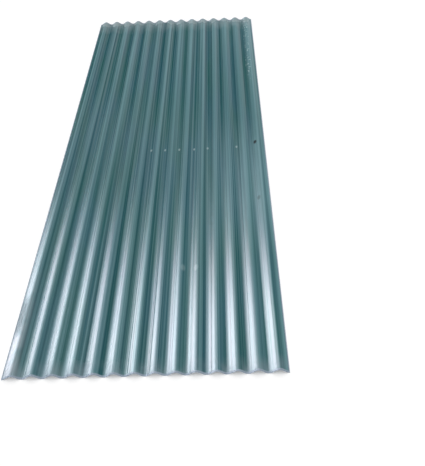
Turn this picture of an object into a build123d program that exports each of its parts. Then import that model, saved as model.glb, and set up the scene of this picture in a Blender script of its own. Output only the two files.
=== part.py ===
from build123d import *
from math import atan, degrees
import os

# Corrugated plastic sheet lying flat, all sizes in millimetres. The waves run along Y, the width is along X and
# the crests point up along Z. The origin is on the ground under the middle of the sheet.

# The wave, measured on the middle of the wall
wave_pitch = 76.0       # crest to crest
wave_depth = 18.0       # bottom of a trough to top of a crest
straight_flank = 18.0   # flat stretch of the slope, between the round of a trough and the round of a crest
wave_count = 14         # whole waves, so both long edges end at the bottom of a trough

# The sheet
wall = 1.5              # thickness of the plastic, the same all over
sheet_length = 3000.0   # along the waves

# What follows from them. Each round is tangent to its slope, so one radius and one slope close the wave exactly.
half_pitch = wave_pitch / 2
half_wave_count = 2 * wave_count
left_edge = -half_pitch * wave_count
bend_radius = (half_pitch**2 + wave_depth**2 - straight_flank**2) / (4 * wave_depth)
flank_slope = degrees(2 * atan(wave_depth / (half_pitch + straight_flank)))
trough_level = wall / 2
crest_level = trough_level + wave_depth


def half_wave(number, shift):
    """The round of a trough, the slope and the round of a crest, on the surface that lies shift above mid-wall.

    Half waves are counted from the left edge. Even ones rise to the right, and odd ones fall.
    """
    start = left_edge + number * half_pitch
    end = start + half_pitch
    rises = number % 2 == 0
    trough_x, crest_x = (start, end) if rises else (end, start)
    uphill = 1 if rises else -1
    turn = uphill * flank_slope
    trough = JernArc((trough_x, trough_level + shift), (uphill, 0), bend_radius - shift, turn)
    crest = JernArc((crest_x, crest_level + shift), (-uphill, 0), bend_radius + shift, turn)
    return [trough, Line(trough @ 1, crest @ 1), crest]


def surface_line(shift):
    """One surface of the sheet in section, all the way across."""
    return [edge for number in range(half_wave_count) for edge in half_wave(number, shift)]


def long_edge(x):
    """The cut face of the wall at one side of the sheet, in section."""
    return Line((x, 0), (x, wall))


# The far cut end, pulled towards the near one. The seams along crests and troughs are kept, not cleaned away, so
# that a mesh of the sheet has its full height too.
far_end = Plane.XZ.offset(-sheet_length / 2)
outline = surface_line(-wall / 2) + surface_line(wall / 2) + [long_edge(left_edge), long_edge(-left_edge)]
section = make_face(far_end * Curve(children=outline))
corrugated_sheet = extrude(section, amount=sheet_length, clean=False)

os.makedirs("parts", exist_ok=True)
export_step(corrugated_sheet, "parts/corrugated_sheet.step")
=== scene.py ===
"""Corrugated plastic sheet: its looks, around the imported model, and the stage that it lies on."""

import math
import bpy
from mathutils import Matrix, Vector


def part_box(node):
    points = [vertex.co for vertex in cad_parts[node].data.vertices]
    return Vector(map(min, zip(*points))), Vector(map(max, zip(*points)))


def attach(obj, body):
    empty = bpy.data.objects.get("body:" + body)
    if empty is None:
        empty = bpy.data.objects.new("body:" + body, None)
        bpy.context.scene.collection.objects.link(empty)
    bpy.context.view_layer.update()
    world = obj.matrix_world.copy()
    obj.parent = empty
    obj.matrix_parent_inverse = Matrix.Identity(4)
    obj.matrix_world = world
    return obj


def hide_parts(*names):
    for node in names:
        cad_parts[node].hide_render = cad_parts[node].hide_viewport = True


bl_info = {
    "name": "Corrugated Plastic Sheet",
    "version": (1, 0, 0),
    "blender": (4, 5, 0),
    "location": "View3D > Sidebar > Corrugated Sheet",
    "description": "Makes a glossy tinted corrugated plastic sheet and the plain stage that it lies on",
    "category": "Add Mesh",
}

import bpy
import numpy as np
from bpy.props import FloatProperty, FloatVectorProperty, IntProperty, PointerProperty
from mathutils import Euler, Vector, noise

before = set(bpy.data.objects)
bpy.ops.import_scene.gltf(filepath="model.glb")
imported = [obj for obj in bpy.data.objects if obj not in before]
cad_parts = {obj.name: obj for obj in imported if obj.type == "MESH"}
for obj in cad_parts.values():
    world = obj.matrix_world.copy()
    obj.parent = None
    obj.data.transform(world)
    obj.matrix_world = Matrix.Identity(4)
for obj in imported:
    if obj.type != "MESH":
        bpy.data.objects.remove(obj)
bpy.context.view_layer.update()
SHEET_NODE = "corrugated_sheet"
SHEET_LOW, SHEET_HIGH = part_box(SHEET_NODE)
MILLIMETRE = 0.001
BLACK = (0, 0, 0, 1)
WHITE = (1, 1, 1, 1)

# Colour sockets of a Mix node, by number, because its other kinds of value share their names
MIX_FIRST = 6
MIX_SECOND = 7
MIX_RESULT = 2

NOISE_DETAIL = 1.0


def length_of(name, description, default):
    return FloatProperty(name=name, description=description, default=default, unit="LENGTH")


def colour_of(name, description, default):
    return FloatVectorProperty(name=name, description=description, default=default, subtype="COLOR")


def share_of(name, description, default):
    return FloatProperty(
        name=name, description=description, default=default, subtype="FACTOR", min=0, max=1
    )


def strength_of(name, description, default):
    return FloatProperty(name=name, description=description, default=default, min=0)


class SheetSizes(bpy.types.PropertyGroup):
    """The wave section and how true the moulding is. Width, length and height come from the sheet part in
    model.glb.
    """

    wave_count: IntProperty(
        name="Waves", description="Whole waves across the sheet, trough to trough", default=14, min=1
    )
    wall: length_of("Wall", "Thickness of the plastic", 1.5 * MILLIMETRE)
    straight_flank: length_of(
        "Straight Flank", "Flat stretch of the slope, between two rounds", 18 * MILLIMETRE
    )
    edge_break: length_of("Edge Break", "Chamfer along every cut edge", 0.25 * MILLIMETRE)
    saw_wander: length_of("Saw Wander", "How far the saw cut wanders along each end", 1.2 * MILLIMETRE)
    slack: share_of("Slack", "Share of its depth by which a wave is flatter in places", 0.03)


class PlasticFinish(bpy.types.PropertyGroup):
    """Colours of the plastic, of what lies on it and of the painted sheen, how much of each shows, and how
    glossy it is.
    """

    green_tint: colour_of("Green Tint", "Dark teal where it leans to green", (0.024, 0.112, 0.112))
    blue_tint: colour_of("Blue Tint", "Dark teal where it leans to blue", (0.028, 0.110, 0.138))
    deep: colour_of("Deep Line", "Clear plastic in the drawn lines", (0.010, 0.060, 0.075))
    # Haze and sheen: milky haze in the drawn streaks, and painted sheen on crests and down the right side.
    haze_and_sheen: colour_of("Bloom", "Milky haze on the face", (0.16, 0.30, 0.33))
    # Scuff and sheen: grey veil of scuffing, with a painted sheen of the broad highlight on the near left
    # corner.
    scuff_and_sheen: colour_of("Scuff", "Grey veil on the handled corner", (0.42, 0.43, 0.47))
    dull: colour_of("Dull", "Dry dust towards the cut ends", (0.22, 0.28, 0.32))
    rim: colour_of("Dusty Rim", "Paler dust along the far cut end", (0.30, 0.37, 0.38))
    # Pale sawn edge: partly whitening from the saw, partly a painted edge highlight.
    cut: colour_of("Cut Edge", "Sawn edge, pale and scuffed", (0.25, 0.31, 0.38))
    # Pale marks: a row of specks half way along, two faint smudges on crests, and crumbs on the outermost
    # right wave.
    pale_marks: colour_of("Chalk", "Pale specks", (0.45, 0.58, 0.60))
    dirt: colour_of("Dirt", "Dark specks", (0.006, 0.020, 0.022))

    # Shares of the haze and sheen colour. Crests get haze and painted sheen, more sheen towards the far
    # end; the right slope, the far right corner and the near half of the right side get painted sheen;
    # bands and lines get haze; the threads of the near half get haze with painted sheen.
    crest_haze_and_sheen: share_of("Bloom on Crests", "Haze on every crest", 0.15)
    far_crest_sheen: share_of("Far Bloom", "Haze that crests gain towards the far end", 0.65)
    band_bloom: share_of("Bloom in Bands", "Haze in the wide drawn bands", 0.2)
    line_bloom: share_of("Bloom in Lines", "Haze in the drawn lines", 0.4)
    thread_haze_and_sheen: share_of("Bloom in Threads", "Haze in the fine threads of the near half", 0.3)
    side_sheen: share_of("Bloom at the Side", "Haze on the slope of the right edge", 0.2)
    corner_sheen: share_of("Bloom at the Corner", "Haze on the far right corner", 0.15)
    near_right_sheen: share_of("Bloom in the Veil", "Haze on the near half of the right side", 0.4)
    line_depth: share_of("Deep Lines", "How far the deep lines show", 0.6)
    # How far the scuff and painted sheen on the near left corner show.
    scuff_and_sheen_share: share_of("Scuffing", "Veil on the handled corner", 0.6)
    dust: share_of("Dust", "Dust along the cut ends", 0.6)
    rim_dust: share_of("Rim Dust", "Dust in the rim of the far cut end", 0.8)
    spotting: share_of("Spots", "Pale spots half way along", 0.45)
    smudging: share_of("Smudges", "Faint smudges on two crests", 0.18)
    crumbling: share_of("Crumbs", "Crumbs on the far end of the outermost right wave", 0.7)
    faint_dirt: share_of("Faint Dirt", "How far the faint dark spot shows", 0.4)

    gloss_floor: share_of("Least Roughness", "Roughness of the glossiest plastic", 0.04)
    line_roughness: share_of("Line Roughness", "Roughness that bands and lines each add", 0.06)
    handled_roughness: share_of("Handled Roughness", "Roughness gained towards the handled corner", 0.21)
    rubbed_roughness: share_of("Rubbed Roughness", "Roughness that the rubbed spot adds", 0.25)
    dry_roughness: share_of("Dry Roughness", "Roughness that dust, chalk and cut edges add", 0.3)


class StageSettings(bpy.types.PropertyGroup):
    """Floor, lights and camera."""

    floor: colour_of("Floor", "Colour of the floor", (0.9, 0.9, 0.9))
    floor_glow: strength_of("Floor Glow", "White added to the floor as it is seen", 0.15)
    sky_level: strength_of("Sky Level", "Strength of the even light all round", 1.0)
    cloth_lilac: colour_of("Lilac Cloth", "Light from the cloth where it leans to lilac", (0.95, 0.88, 1))
    cloth_cyan: colour_of("Cyan Cloth", "Light from the cloth where it leans to cyan", (0.82, 0.94, 1))
    cloth_level: strength_of("Cloth Level", "Radiance of the cloth where it is brightest", 16.0)
    haze: share_of("Haze", "Share of that level in the dim part of the cloth", 0.046)
    lens: FloatProperty(name="Lens", description="Focal length of the camera", default=50.0, unit="CAMERA")
    camera_place: FloatVectorProperty(
        name="Camera Place",
        description="Where the camera stands",
        default=(0.32, -2.9, 1.98),
        subtype="TRANSLATION",
    )
    camera_turn: FloatVectorProperty(
        name="Camera Turn",
        description="Which way the camera looks",
        default=[math.radians(turn) for turn in (47.6, 2.2, -0.2)],
        subtype="EULER",
    )


class Wire:
    """An output socket in a node tree. Sums with a wire in them add Math nodes."""

    def __init__(self, tree, socket=None):
        self.tree = tree
        self.socket = socket

    def node(self, kind, settings=None, inputs=None, output=0):
        """Adds a node with its settings and the values or wires of its inputs. Gives one output's wire."""
        made = self.tree.nodes.new(kind)
        for name, value in (settings or {}).items():
            if name == "stops":
                set_stops(made.color_ramp.elements, value)
            else:
                setattr(made, name, value)
        for key, value in (inputs or {}).items():
            if isinstance(value, Wire):
                self.tree.links.new(value.socket, made.inputs[key])
            else:
                made.inputs[key].default_value = value
        return Wire(self.tree, made.outputs[output] if made.outputs else None)

    def math(self, operation, *values, clamp=False):
        settings = {"operation": operation, "use_clamp": clamp}
        return self.node("ShaderNodeMath", settings, dict(enumerate(values)))

    def __add__(self, other):
        return self.math("ADD", self, other)

    __radd__ = __add__

    def __mul__(self, other):
        return self.math("MULTIPLY", self, other)

    __rmul__ = __mul__

    def __sub__(self, other):
        return self.math("SUBTRACT", self, other)

    def __rsub__(self, other):
        return self.math("SUBTRACT", other, self)

    def __truediv__(self, other):
        return self.math("DIVIDE", self, other)

    def __abs__(self):
        return self.math("ABSOLUTE", self)

    def clamped(self):
        """No less than 0 and no more than 1."""
        return self.math("ADD", self, 0, clamp=True)

    def greater(self, other):
        return self.math("MAXIMUM", self, other)

    def above(self, low, rounding):
        """No less than low, with the corner at low rounded off."""
        return self.math("SMOOTH_MAX", self, low, rounding)

    def level(self, start, full):
        """0 up to start, 1 from full on, and a straight slope between them. Full may be below start."""
        return ((self - start) * (1 / (full - start))).clamped()

    def axes(self):
        """The three parts of a vector."""
        return [self.node("ShaderNodeSeparateXYZ", inputs={0: self}, output=axis) for axis in "XYZ"]

    def vector(self, operation, *values, output="Vector"):
        """Vector maths on wires, vectors or both."""
        return self.node("ShaderNodeVectorMath", {"operation": operation}, dict(enumerate(values)), output)

    def mix(self, factor, first, second):
        """A colour that goes from first to second with factor."""
        inputs = {"Factor": factor, MIX_FIRST: first, MIX_SECOND: second}
        return self.node("ShaderNodeMix", {"data_type": "RGBA"}, inputs, MIX_RESULT)


def set_stops(elements, stops):
    """Gives a colour ramp its stops, each a place from 0 to 1 and a colour."""
    while len(elements) < len(stops):
        elements.new(1)
    for element, (place, colour) in zip(elements, stops):
        element.position = place
        element.color = colour


def opaque(colour):
    """A colour property as the four numbers that a shader socket takes."""
    return (*colour, 1)


def new_material(name):
    """An empty material and the wire that its nodes start from."""
    material = bpy.data.materials.new(name)
    material.use_nodes = True
    material.node_tree.nodes.clear()
    return material, Wire(material.node_tree)


# Steps in the dressed mesh
ROUND_STEPS = 6     # along each round of the section
ROWS = 90           # along the sheet
SHARP_ANGLE = math.radians(30)

# Unevenness of the moulding and of the saw cuts
SLACK_WIDTH = 90 * MILLIMETRE
SLACK_LENGTH = 500 * MILLIMETRE
SLACK_SEED = 3.5
WANDER_WIDTH = 50 * MILLIMETRE
NEAR_CUT_SEED = 0
FAR_CUT_SEED = 9


def wave_section(sizes):
    """Points and slopes along the middle of the wall from left to right, two rounds to a half wave."""
    half_pitch = (SHEET_HIGH.x - SHEET_LOW.x) / (2 * sizes.wave_count)
    depth = SHEET_HIGH.z - SHEET_LOW.z - sizes.wall
    flank = sizes.straight_flank
    radius = (half_pitch**2 + depth**2 - flank**2) / (4 * depth)
    if radius <= sizes.wall / 2:
        raise ValueError("The rounds are too tight for the wall. Try fewer waves or a shorter flank.")
    slope = 2 * math.atan(depth / (half_pitch + flank))
    turns = np.linspace(0, slope, ROUND_STEPS + 1)
    rising_x = np.r_[radius * np.sin(turns), half_pitch - radius * np.sin(turns[::-1])]
    rising_z = np.r_[radius * (1 - np.cos(turns)), depth - radius * (1 - np.cos(turns[::-1]))]
    lean = np.r_[turns, turns[::-1]]
    x, z, angle = [SHEET_LOW.x], [0.0], [0.0]
    for number in range(2 * sizes.wave_count):
        start = SHEET_LOW.x + number * half_pitch
        rises = number % 2 == 0
        x.extend(start + (rising_x if rises else half_pitch - rising_x[::-1])[1:])
        z.extend((rising_z if rises else rising_z[::-1])[1:])
        angle.extend((lean if rises else -lean[::-1])[1:])
    return np.array(x), np.array(z) + SHEET_LOW.z + sizes.wall / 2, np.array(angle)


def with_edge_points(row, inset=0.0):
    """A row of numbers with one more beside each of its ends, inset from it."""
    return np.r_[row[0], row[0] + inset, row[1:-1], row[-1] - inset, row[-1]]


def slack_field(across, along):
    """Smooth numbers about a half, which say where along and across the sheet a wave is flatter."""
    field = np.empty((len(across), len(along)))
    for i, x in enumerate(across):
        for j, y in enumerate(along):
            field[i, j] = noise.noise(Vector((x / SLACK_WIDTH, y / SLACK_LENGTH, SLACK_SEED)))
    return (1 + field) / 2


def saw_line(across, seed):
    """How far a saw cut stands in from the true end, as shares of the widest wander."""
    return np.array([abs(noise.noise(Vector((x / WANDER_WIDTH, seed, 0)))) for x in across])


def wall_thickness(columns, rows, sizes):
    """Half the wall at every point of the sheet, less along the rim, where the edge is broken."""
    half_wall = np.full((columns, rows), sizes.wall / 2)
    half_wall[[0, -1], :] -= sizes.edge_break
    half_wall[:, [0, -1]] -= sizes.edge_break
    return half_wall


def sheet_points(sizes):
    """Upper and lower points of the sheet, each as columns of rows of places."""
    x, z, angle = wave_section(sizes)
    x = with_edge_points(x, sizes.edge_break)
    z = with_edge_points(z)
    angle = with_edge_points(angle)[:, None]
    inner = np.linspace(SHEET_LOW.y + sizes.edge_break, SHEET_HIGH.y - sizes.edge_break, ROWS + 1)
    y = np.r_[SHEET_LOW.y, inner, SHEET_HIGH.y]
    middle = (SHEET_LOW.z + SHEET_HIGH.z) / 2
    level = middle + (z[:, None] - middle) * (1 - sizes.slack * slack_field(x, y))
    along = np.tile(y, (len(x), 1))
    along[:, :2] += sizes.saw_wander * saw_line(x, NEAR_CUT_SEED)[:, None]
    along[:, -2:] -= sizes.saw_wander * saw_line(x, FAR_CUT_SEED)[:, None]
    half_wall = wall_thickness(len(x), len(y), sizes)
    return [
        np.stack([x[:, None] - rise * np.sin(angle), along, level + rise * np.cos(angle)], axis=-1)
        for rise in (half_wall, -half_wall)
    ]


def grid_faces(first, columns, rows, flip):
    """Quads over a grid of vertices that starts at first and is filled column by column."""
    i, j = np.meshgrid(np.arange(columns - 1), np.arange(rows - 1), indexing="ij")
    corner = first + i * rows + j
    loop = [corner, corner + rows, corner + rows + 1, corner + 1]
    return np.stack(loop[::-1] if flip else loop, axis=-1).reshape(-1, 4)


def rim_faces(columns, rows, under):
    """Quads round the rim, between the upper grid and the lower one, whose vertices start at under."""
    left = np.arange(rows)
    far = np.arange(columns) * rows + rows - 1
    right = (columns - 1) * rows + np.arange(rows)[::-1]
    near = np.arange(columns)[::-1] * rows
    rim = np.concatenate([left[:-1], far[:-1], right[:-1], near[:-1]])
    following = np.roll(rim, -1)
    return np.stack([rim + under, following + under, following, rim], axis=-1)


class CORRUGATED_OT_sheet(bpy.types.Operator):
    """Make the waved sheet, with its rounds, broken edges and slight unevenness"""

    bl_idname = "corrugated.sheet"
    bl_label = "Waved Sheet"

    def execute(self, context):
        scene = context.scene
        upper, lower = sheet_points(scene.sheet_sizes)
        columns, rows = upper.shape[:2]
        under = columns * rows
        faces = [
            grid_faces(0, columns, rows, flip=False),
            grid_faces(under, columns, rows, flip=True),
            rim_faces(columns, rows, under),
        ]
        places = np.concatenate([upper.reshape(-1, 3), lower.reshape(-1, 3)])
        mesh = bpy.data.meshes.new("waved_sheet")
        mesh.from_pydata(places.tolist(), [], np.concatenate(faces).tolist())
        mesh.validate()
        mesh.shade_smooth()
        mesh.set_sharp_from_angle(angle=SHARP_ANGLE)
        mesh.materials.append(plastic_face(scene.plastic_finish))
        sheet = bpy.data.objects.new("waved_sheet", mesh)
        scene.collection.objects.link(sheet)
        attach(sheet, "root")
        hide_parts(SHEET_NODE)
        return {"FINISHED"}


# Noises on the face, each with its width across the sheet, its length along it and its seed
PATCHES = (60 * MILLIMETRE, 500 * MILLIMETRE, 3.0)
BANDS = (22 * MILLIMETRE, 3000 * MILLIMETRE, 21.0)
LINES = (9 * MILLIMETRE, 5000 * MILLIMETRE, 11.0)
THREADS = (7 * MILLIMETRE, 6000 * MILLIMETRE, 61.0)
RIDGES = (10 * MILLIMETRE, 6000 * MILLIMETRE, 61.0)
GRIT = (6 * MILLIMETRE, 6 * MILLIMETRE, 31.0)
BLOTS = (50 * MILLIMETRE, 80 * MILLIMETRE, 41.0)
CRUMBS = (10 * MILLIMETRE, 16 * MILLIMETRE, 51.0)

# Where in such a noise, from 0 to 1, a mask starts and where it is full
PATCH_SHARES = (0.38, 0.62)
STREAK_SHARES = (0.45, 0.7)
THREAD_SHARES = (0.5, 0.7)
DEEP_SHARES = (0.48, 0.28)
SCUFF_AND_SHEEN_SHARES = (0.2, 0.5)
DUST_SHARES = (0.25, 0.65)
CRUMB_SHARES = (0.61, 0.68)

# The same over the height of the sheet
CREST_SHARES = (0.35, 0.95)
FLANK_SHARES = (0.5, 0.95)
RIM_SHARES = (0.2, 0.9)

# Where a mask starts and where it is full, in metres across the sheet
# The first four of these place painted sheen: down the right slope, held off the lower left flanks, on the
# far right corner and on the near half of the right side.
RIGHT_SLOPE = (0.485, 0.515)
SHEEN_HELD_OFF_SIDE = (0.1, -0.4)
SHEEN_CORNER_SIDE = (0.0, 0.5)
NEAR_RIGHT_SHEEN_SIDE = (0.15, 0.45)
HANDLED_SIDE = (0.5, -0.5)
# This places the scuff and painted sheen on the near left corner.
SCUFF_AND_SHEEN_SIDE = (-0.47, -0.5)
CRUMBED_SLOPE = 484 * MILLIMETRE    # middle of the crumbs, on the outermost right wave
CRUMB_REACH = (20 * MILLIMETRE, 12 * MILLIMETRE)    # to either side of CRUMBED_SLOPE

# The same along the sheet
FAR_PART = (-0.4, 1.4)
NEAR_PART = (0.0, -1.2)
HANDLED_END = (-0.3, -1.2)
# This places the scuff and painted sheen on the near left corner.
SCUFF_AND_SHEEN_END = (-0.9, -1.4)
CRUMBED_END = (0.6, 0.75)
# These three place painted sheen on the far right corner and on the near half of the right side.
SHEEN_CORNER_END = (0.9, 1.4)
NEAR_RIGHT_SHEEN_START = (-0.9, -0.5)
NEAR_RIGHT_SHEEN_STOP = (0.2, -0.3)

# The same in from the ends and sides, and how far a ragged start wanders
DUSTED_END = (80 * MILLIMETRE, 0.0)
DUSTED_RIM = (110 * MILLIMETRE, -60 * MILLIMETRE)
CUT_END = (8 * MILLIMETRE, 5 * MILLIMETRE)
CUT_SIDE = (3.5 * MILLIMETRE, 2 * MILLIMETRE)
RIM_RAGGEDNESS = 120 * MILLIMETRE
END_RAGGEDNESS = 4 * MILLIMETRE
SIDE_RAGGEDNESS = 2 * MILLIMETRE

# Marks on the face, each at its place across and along the sheet, in metres
PALE_SPOTS = (
    (-0.070, -0.070), (0.003, -0.070), (0.078, -0.070), (0.157, -0.072), (0.228, -0.066), (0.381, -0.060)
)
PALE_SPOT_RADIUS = 6.5 * MILLIMETRE
SMUDGES = ((0.125, -0.959), (0.181, -0.961))
SMUDGE_RADIUS = 12 * MILLIMETRE
DARK_SPOTS = ((0.480, -0.037),)
FAINT_SPOTS = ((0.475, -0.498),)
DARK_SPOT_RADIUS = 10 * MILLIMETRE
RUBBED_SPOTS = ((-0.525, -1.2),)
RUBBED_SPOT_RADIUS = 60 * MILLIMETRE
SPOT_CORE_SHARE = 0.45  # part of a spot's radius that is full
SPOT_LENGTH = 2         # times its width

# Relief that only the shine shows. The left side leans as if it curled up, and the right side as if it
# rose away from the near end.
CURL_START = 75 * MILLIMETRE        # left of the middle
CURL_ROUNDING = 100 * MILLIMETRE
CURL_SLOPE = math.tan(math.radians(9))
RISING_SIDE = (0.0, 0.5)            # across the sheet
RISING_LENGTH = (-1.5, 0.0)         # along it
RISE = 36 * MILLIMETRE
BAND_RELIEF = 0.5 * MILLIMETRE
RIDGE_RELIEF = 1.5 * MILLIMETRE


class Face:
    """Places on the sheet, and the streaks and spots that are laid out on it."""

    def __init__(self, wire):
        self.place = wire.node("ShaderNodeTexCoord", output="Object")
        self.x, self.y, up = self.place.axes()
        self.height = up / SHEET_HIGH.z
        self.from_end = SHEET_HIGH.y - abs(self.y)
        self.from_side = SHEET_HIGH.x - abs(self.x)

    def streaks(self, noise_size):
        """Noise from 0 to 1, which is streaks where its length is far more than its width."""
        width, length, seed = noise_size
        stretched = self.place.vector(
            "MULTIPLY_ADD", self.place, (1 / width, 1 / length, 1 / width), (seed, seed, seed)
        )
        inputs = {"Vector": stretched, "Scale": 1.0, "Detail": NOISE_DETAIL}
        return self.place.node("ShaderNodeTexNoise", inputs=inputs)

    def spots(self, places, radius):
        """1 on spots at places, drawn out along the sheet, fading to 0 at their edges."""
        flat = self.place.vector("MULTIPLY", self.place, (1, 1 / SPOT_LENGTH, 0))
        nearest = None
        for x, y in places:
            apart = self.place.vector("DISTANCE", flat, (x, y / SPOT_LENGTH, 0), output="Value")
            nearest = apart if nearest is None else nearest.math("MINIMUM", nearest, apart)
        return nearest.level(radius, radius * SPOT_CORE_SHARE)


def haze_and_sheen_mask(face, finish):
    """Haze and painted sheen. Painted sheen on crests, more of it far away, on the far right corner, on
    the near half of the right side and down the right slope; milky haze in drawn streaks, and both in the
    fine threads of the near half.
    """
    # Painted sheen on crests, held off the lower left flanks, and growing towards the far end.
    flank_without_sheen = face.x.level(*SHEEN_HELD_OFF_SIDE) * (1 - face.height.level(*FLANK_SHARES))
    crest = face.height.level(*CREST_SHARES) * (1 - flank_without_sheen)
    haze_and_sheen = crest * (face.y.level(*FAR_PART) * finish.far_crest_sheen + finish.crest_haze_and_sheen)
    haze_and_sheen = haze_and_sheen + face.streaks(BANDS).level(*STREAK_SHARES) * finish.band_bloom
    haze_and_sheen = haze_and_sheen + face.streaks(LINES).level(*STREAK_SHARES) * finish.line_bloom
    threads = face.streaks(THREADS).level(*THREAD_SHARES) * face.y.level(*NEAR_PART)
    haze_and_sheen = haze_and_sheen + threads * finish.thread_haze_and_sheen
    # Painted sheen on the far right corner, on the near half of the right side and down the right slope.
    haze_and_sheen = haze_and_sheen + face.x.level(*SHEEN_CORNER_SIDE) * face.y.level(*SHEEN_CORNER_END) * finish.corner_sheen
    veil = face.x.level(*NEAR_RIGHT_SHEEN_SIDE) * face.y.level(*NEAR_RIGHT_SHEEN_START) * face.y.level(*NEAR_RIGHT_SHEEN_STOP)
    haze_and_sheen = haze_and_sheen + veil * finish.near_right_sheen
    return (haze_and_sheen + face.x.level(*RIGHT_SLOPE) * finish.side_sheen).clamped()


def deep_mask(face, finish):
    """Clear drawn lines, darker than the rest."""
    return face.streaks(LINES).level(*DEEP_SHARES) * finish.line_depth


def scuff_and_sheen_mask(face, finish):
    """A grey veil on the near left corner: partly scuffing where it is handled most, partly a painted
    sheen of the broad highlight there.
    """
    corner = face.x.level(*SCUFF_AND_SHEEN_SIDE) * face.y.level(*SCUFF_AND_SHEEN_END)
    return corner * face.streaks(BLOTS).level(*SCUFF_AND_SHEEN_SHARES) * finish.scuff_and_sheen_share


def dust_mask(face, finish):
    """Dust in blots along the cut ends."""
    return face.from_end.level(*DUSTED_END) * face.streaks(BLOTS).level(*DUST_SHARES) * finish.dust


def rim_mask(face, finish):
    """Pale dust that fades in from the far cut end, half as much of it in the troughs as on the crests."""
    from_far_end = SHEET_HIGH.y - face.y
    rim = (from_far_end - face.streaks(BLOTS) * RIM_RAGGEDNESS).level(*DUSTED_RIM)
    return rim * (face.height.level(*RIM_SHARES) + 1) * (finish.rim_dust / 2)


def pale_marks_mask(face, finish):
    """Pale spots half way along, two faint smudges, and crumbs far along the outermost right wave."""
    spots = face.spots(PALE_SPOTS, PALE_SPOT_RADIUS) * finish.spotting
    smudges = face.spots(SMUDGES, SMUDGE_RADIUS) * finish.smudging
    strip = abs(face.x - CRUMBED_SLOPE).level(*CRUMB_REACH) * face.y.level(*CRUMBED_END)
    crumbs = face.streaks(CRUMBS).level(*CRUMB_SHARES) * strip * finish.crumbling
    return (spots + smudges + crumbs).clamped()


def dirt_mask(face, finish):
    """A dark spot near the right edge, and a faint one."""
    faint = face.spots(FAINT_SPOTS, DARK_SPOT_RADIUS) * finish.faint_dirt
    return face.spots(DARK_SPOTS, DARK_SPOT_RADIUS) + faint


def cut_and_glint_mask(face):
    """The pale ragged line along ends and sides: partly the whitening that the saw leaves, partly a
    painted edge highlight.
    """
    grit = face.streaks(GRIT)
    ends = (face.from_end - grit * END_RAGGEDNESS).level(*CUT_END)
    sides = (face.from_side - grit * SIDE_RAGGEDNESS).level(*CUT_SIDE)
    return ends.greater(sides)


def plastic_colour(face, finish):
    """The two tints of the plastic under all that lies on it, painted sheen included, and how dry the face
    is, from 0 to 1.
    """
    patches = face.streaks(PATCHES).level(*PATCH_SHARES)
    colour = face.place.mix(patches, opaque(finish.green_tint), opaque(finish.blue_tint))
    glossy = (
        (haze_and_sheen_mask(face, finish), finish.haze_and_sheen),
        (deep_mask(face, finish), finish.deep),
        (scuff_and_sheen_mask(face, finish), finish.scuff_and_sheen),
        (dirt_mask(face, finish), finish.dirt),
    )
    dry = (
        (dust_mask(face, finish), finish.dull),
        (rim_mask(face, finish), finish.rim),
        (pale_marks_mask(face, finish), finish.pale_marks),
        (cut_and_glint_mask(face), finish.cut),
    )
    for mask, layer in glossy + dry:
        colour = face.place.mix(mask, colour, opaque(layer))
    masks = [mask for mask, layer in dry]
    return colour, sum(masks[1:], masks[0]).clamped()


def plastic_roughness(face, finish, dryness):
    """Duller in drawn streaks, towards the handled corner, on the rubbed spot and wherever it is dry."""
    streaks = (face.streaks(LINES) + face.streaks(BANDS)) * finish.line_roughness
    handled = face.x.level(*HANDLED_SIDE) * face.y.level(*HANDLED_END) * finish.handled_roughness
    rubbed = face.spots(RUBBED_SPOTS, RUBBED_SPOT_RADIUS) * finish.rubbed_roughness
    return streaks + handled + rubbed + dryness * finish.dry_roughness + finish.gloss_floor


def plastic_relief(face):
    """Drawn bands and ridges along the sheet, and the lean of its left and right sides."""
    curl = (-CURL_START - face.x).above(0.0, CURL_ROUNDING) * CURL_SLOPE
    rise = face.x.level(*RISING_SIDE) * face.y.level(*RISING_LENGTH) * RISE
    return curl + rise + face.streaks(BANDS) * BAND_RELIEF + face.streaks(RIDGES) * RIDGE_RELIEF


def plastic_face(finish):
    """Glossy teal plastic with drawn streaks, haze, painted sheen, dust, pale cut edges with a painted
    edge highlight, and marks.
    """
    material, wire = new_material("teal_sheet_plastic")
    face = Face(wire)
    colour, dryness = plastic_colour(face, finish)
    roughness = plastic_roughness(face, finish, dryness)
    bump = {"Distance": 1.0, "Height": plastic_relief(face)}    # heights in metres
    skin = {
        "Base Color": colour,
        "Roughness": roughness,
        "Normal": wire.node("ShaderNodeBump", inputs=bump),
    }
    surface = wire.node("ShaderNodeBsdfPrincipled", inputs=skin)
    wire.node("ShaderNodeOutputMaterial", inputs={"Surface": surface})
    return material


# The lit cloth hangs far beyond the end of the sheet, square to it. Its glow depends on how far a spot of
# it lies from the line through the middle of the sheet, as a share of CLOTH_REACH, and on the side, from
# right (0) to left (1). It is bright where OUTER and LEFT meet, and dim where MIDDLE and WIDE do, or INNER
# and RIGHT.
CLOTH_REACH = 160.0
CLOTH_DISTANCE = 80.0
OUTER_SHARES = ((0.39, 0.0), (0.43, 0.035), (0.493, 0.14), (0.56, 0.52), (0.643, 1.0))
LEFT_SHARES = ((0.28, 0.0), (0.4, 0.14), (0.6, 0.36), (0.8, 0.64), (0.92, 0.97), (0.965, 1.0), (1.0, 0.75))
MIDDLE_SHARES = ((0.302, 0.0), (0.34, 0.7), (0.402, 1.0), (0.5, 1.0), (0.598, 0.0))
WIDE_SHARES = ((0.08, 0.0), (0.18, 0.9), (0.5, 1.0), (0.8, 0.8), (1.0, 0.6))
INNER_SHARES = ((0.0, 1.0), (0.309, 1.0), (0.372, 0.5), (0.417, 0.0))
RIGHT_SHARES = ((0.0, 0.9), (0.05, 0.8), (0.09, 0.3), (0.2, 0.4), (0.45, 0.25), (0.6, 0.0))
TONE_SCALE = 0.04       # bumps of colour per metre of cloth
TONE_SHARES = (0.4, 0.6)

FLOOR_REACH = 40.0


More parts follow.
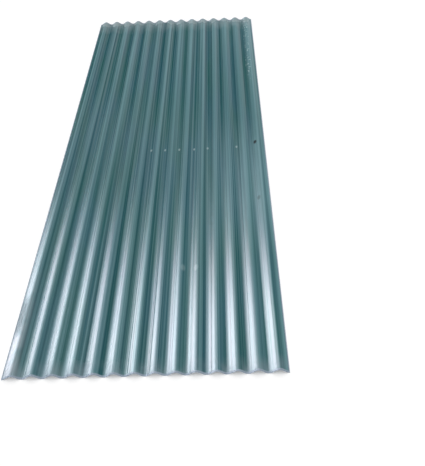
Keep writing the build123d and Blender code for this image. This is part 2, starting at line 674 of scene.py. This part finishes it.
class CORRUGATED_OT_stage(bpy.types.Operator):
    """Set the pale floor, the even light, the lit cloth and the camera"""

    bl_idname = "corrugated.stage"
    bl_label = "Stage"

    def execute(self, context):
        scene = context.scene
        settings = scene.stage_settings
        make_floor(scene, settings)
        make_sky(scene, settings)
        make_cloth(scene, settings)
        make_camera(scene, settings)
        scene.view_settings.view_transform = "Standard"
        return {"FINISHED"}


def add_panel(scene, name, corners, material):
    """A flat four-cornered piece of the stage."""
    mesh = bpy.data.meshes.new(name)
    mesh.from_pydata(corners, [], [(0, 1, 2, 3)])
    mesh.materials.append(material)
    panel = bpy.data.objects.new(name, mesh)
    scene.collection.objects.link(panel)
    return panel


def seen_directly(wire):
    """1 for what the camera sees, also in a mirror or through glass, and 0 for what lights the object."""
    rays = [
        wire.node("ShaderNodeLightPath", output=name)
        for name in ("Is Camera Ray", "Is Glossy Ray", "Is Transmission Ray")
    ]
    return sum(rays[1:], rays[0]).clamped()


def make_floor(scene, settings):
    material, wire = new_material("pale_floor")
    plain = wire.node("ShaderNodeBsdfDiffuse", inputs={"Color": opaque(settings.floor)})
    glow = wire.node("ShaderNodeEmission", inputs={"Strength": settings.floor_glow})
    lifted = wire.node("ShaderNodeAddShader", inputs={0: plain, 1: glow})
    both = wire.node("ShaderNodeMixShader", inputs={0: seen_directly(wire), 1: plain, 2: lifted})
    wire.node("ShaderNodeOutputMaterial", inputs={"Surface": both})
    reach = FLOOR_REACH
    corners = [(-reach, -reach, 0), (reach, -reach, 0), (reach, reach, 0), (-reach, reach, 0)]
    add_panel(scene, "floor", corners, material)


def make_sky(scene, settings):
    world = bpy.data.worlds.new("even_sky")
    world.use_nodes = True
    world.node_tree.nodes.clear()
    scene.world = world
    wire = Wire(world.node_tree)
    light = wire.node("ShaderNodeBackground", inputs={"Color": WHITE, "Strength": settings.sky_level})
    white = wire.node("ShaderNodeBackground", inputs={"Color": WHITE, "Strength": 1.0})
    both = wire.node("ShaderNodeMixShader", inputs={0: seen_directly(wire), 1: light, 2: white})
    wire.node("ShaderNodeOutputWorld", inputs={"Surface": both})


def ramp(value, shares):
    """A share that follows value along a table of places and shares."""
    stops = [(place, (share, share, share, 1)) for place, share in shares]
    return value.node("ShaderNodeValToRGB", {"stops": stops}, {"Fac": value})


def cloth_light(wire, settings):
    """Colour of the cloth: a bright part high up on the left, and a dim haze lower down."""
    place = wire.node("ShaderNodeTexCoord", output="Object")
    away = wire.vector("LENGTH", place, output="Value")
    out = away / CLOTH_REACH
    side = (1 - place.axes()[0] / away) / 2
    glow = ramp(out, OUTER_SHARES) * ramp(side, LEFT_SHARES)
    haze = ramp(out, MIDDLE_SHARES) * ramp(side, WIDE_SHARES)
    haze = haze + ramp(out, INNER_SHARES) * ramp(side, RIGHT_SHARES)
    noise_inputs = {"Vector": place, "Scale": TONE_SCALE, "Detail": NOISE_DETAIL}
    tones = wire.node("ShaderNodeTexNoise", inputs=noise_inputs)
    light = wire.mix(tones.level(*TONE_SHARES), opaque(settings.cloth_lilac), opaque(settings.cloth_cyan))
    return wire.mix(glow + haze * settings.haze, BLACK, light)


def make_cloth(scene, settings):
    material, wire = new_material("lit_cloth")
    material.cycles.emission_sampling = "NONE"
    lit = {"Color": cloth_light(wire, settings), "Strength": settings.cloth_level}
    surface = wire.node("ShaderNodeEmission", inputs=lit)
    wire.node("ShaderNodeOutputMaterial", inputs={"Surface": surface})
    reach = CLOTH_REACH
    corners = [(-reach, 0, 0), (reach, 0, 0), (reach, 0, reach), (-reach, 0, reach)]
    cloth = add_panel(scene, "lit_cloth", corners, material)
    cloth.location.y = CLOTH_DISTANCE
    cloth.visible_camera = False
    cloth.visible_diffuse = False


def make_camera(scene, settings):
    camera = bpy.data.cameras.new("camera")
    camera.lens = settings.lens
    holder = bpy.data.objects.new("camera", camera)
    holder.location = settings.camera_place
    holder.rotation_euler = Euler(settings.camera_turn)
    scene.collection.objects.link(holder)
    scene.camera = holder


PANEL_ROWS = (
    ("sheet_sizes", (CORRUGATED_OT_sheet,)),
    ("plastic_finish", ()),
    ("stage_settings", (CORRUGATED_OT_stage,)),
)
GROUPS = {"sheet_sizes": SheetSizes, "plastic_finish": PlasticFinish, "stage_settings": StageSettings}


class CORRUGATED_PT_panel(bpy.types.Panel):
    """Everything that makes the sheet and its stage"""

    bl_label = "Corrugated Sheet"
    bl_idname = "CORRUGATED_PT_panel"
    bl_space_type = "VIEW_3D"
    bl_region_type = "UI"
    bl_category = "Corrugated Sheet"

    def draw(self, context):
        for group, operators in PANEL_ROWS:
            box = self.layout.box()
            settings = getattr(context.scene, group)
            for name in settings.bl_rna.properties.keys():
                if name not in ("rna_type", "name"):
                    box.prop(settings, name)
            for operator in operators:
                box.operator(operator.bl_idname)


CLASSES = (*GROUPS.values(), CORRUGATED_OT_sheet, CORRUGATED_OT_stage, CORRUGATED_PT_panel)


def register():
    for each in CLASSES:
        bpy.utils.register_class(each)
    for name, group in GROUPS.items():
        setattr(bpy.types.Scene, name, PointerProperty(type=group))


def unregister():
    for name in GROUPS:
        delattr(bpy.types.Scene, name)
    for each in reversed(CLASSES):
        bpy.utils.unregister_class(each)


def main():
    register()
    bpy.ops.corrugated.sheet()
    bpy.ops.corrugated.stage()


if __name__ == "__main__":
    main()
